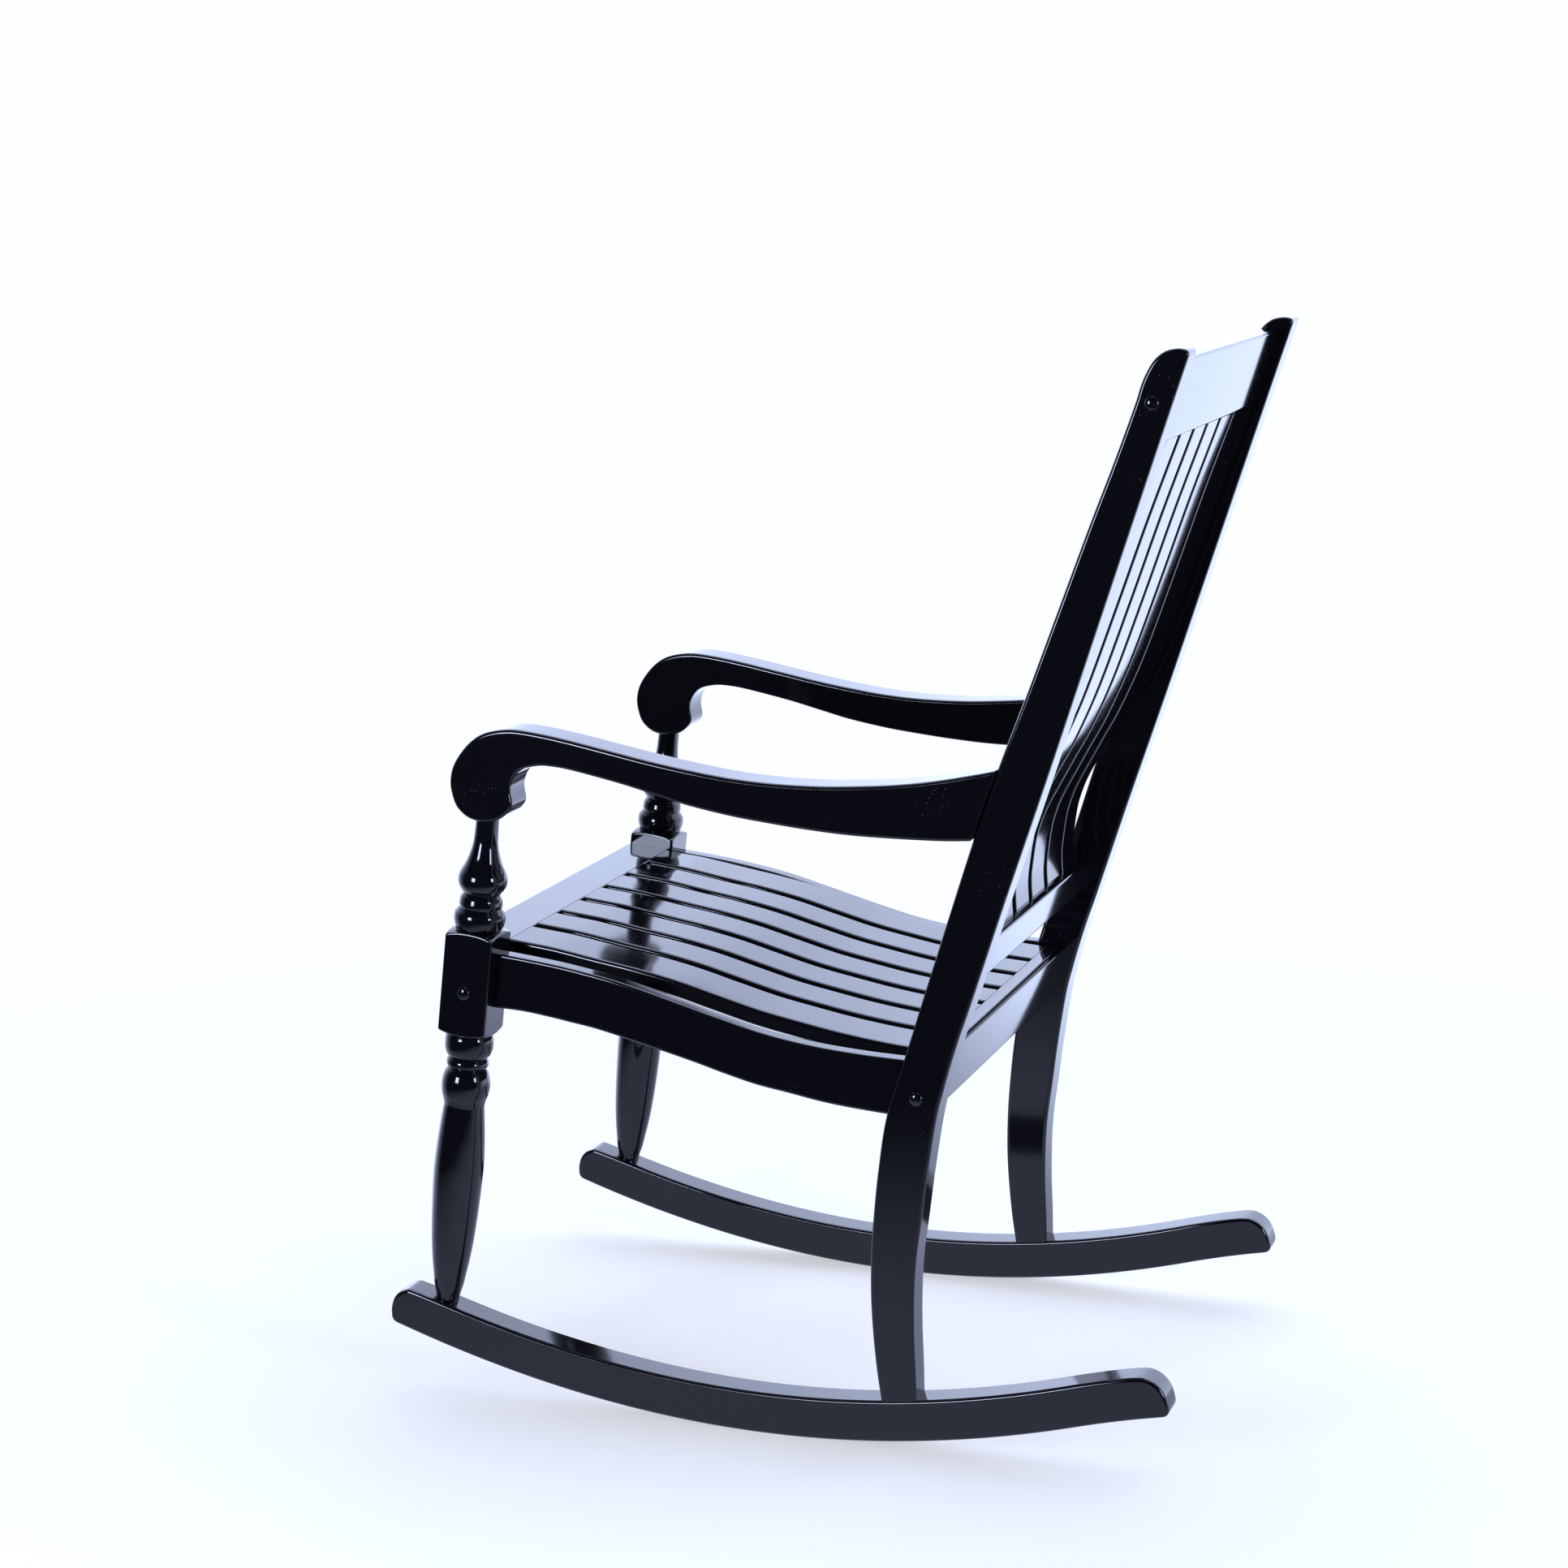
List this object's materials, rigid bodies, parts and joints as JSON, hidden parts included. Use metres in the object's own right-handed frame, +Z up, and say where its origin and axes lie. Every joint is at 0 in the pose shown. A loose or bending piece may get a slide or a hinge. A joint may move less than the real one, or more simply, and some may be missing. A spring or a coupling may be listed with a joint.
{
  "type": "rocking chair",
  "caption": "Wooden slatted rocking chair with a raked contoured back, dipped seat, scroll arms on turned front posts and long curved rockers.",
  "frame": {"origin": "on the floor, under the middle of the chair's width and of its overall depth", "axes": "+Z up, -Y the way the chair faces, +X to the sitter's left"},
  "size_m": [0.6116, 0.863, 1.149],
  "materials": {
    "black_lacquer": "gloss",
    "bolt_steel": "satin"
  },
  "bodies": {
    "root": {"rocker_left": "black_lacquer", "front_post_left": "black_lacquer", "rear_post_left": "black_lacquer", "side_rail_left": "black_lacquer", "arm_left": "black_lacquer", "bolt_crest_left": "bolt_steel", "nut_crest_left": "bolt_steel", "plug_crest_left": "black_lacquer", "bolt_front_left": "bolt_steel", "nut_front_left": "bolt_steel", "plug_front_left": "black_lacquer", "bolt_rear_left": "bolt_steel", "nut_rear_left": "bolt_steel", "plug_rear_left": "black_lacquer", "rocker_right": "black_lacquer", "front_post_right": "black_lacquer", "rear_post_right": "black_lacquer", "side_rail_right": "black_lacquer", "arm_right": "black_lacquer", "bolt_crest_right": "bolt_steel", "nut_crest_right": "bolt_steel", "plug_crest_right": "black_lacquer", "bolt_front_right": "bolt_steel", "nut_front_right": "bolt_steel", "plug_front_right": "black_lacquer", "bolt_rear_right": "bolt_steel", "nut_rear_right": "bolt_steel", "plug_rear_right": "black_lacquer", "seat_front_board": "black_lacquer", "seat_rear_strip": "black_lacquer", "front_apron": "black_lacquer", "rear_apron": "black_lacquer", "crest_rail": "black_lacquer", "lower_back_rail": "black_lacquer", "seat_slat_1": "black_lacquer", "back_slat_1": "black_lacquer", "seat_slat_2": "black_lacquer", "back_slat_2": "black_lacquer", "seat_slat_3": "black_lacquer", "back_slat_3": "black_lacquer", "seat_slat_4": "black_lacquer", "back_slat_4": "black_lacquer", "seat_slat_5": "black_lacquer", "back_slat_5": "black_lacquer", "seat_slat_6": "black_lacquer", "back_slat_6": "black_lacquer", "seat_slat_7": "black_lacquer", "back_slat_7": "black_lacquer"}
  },
  "joints": []
}
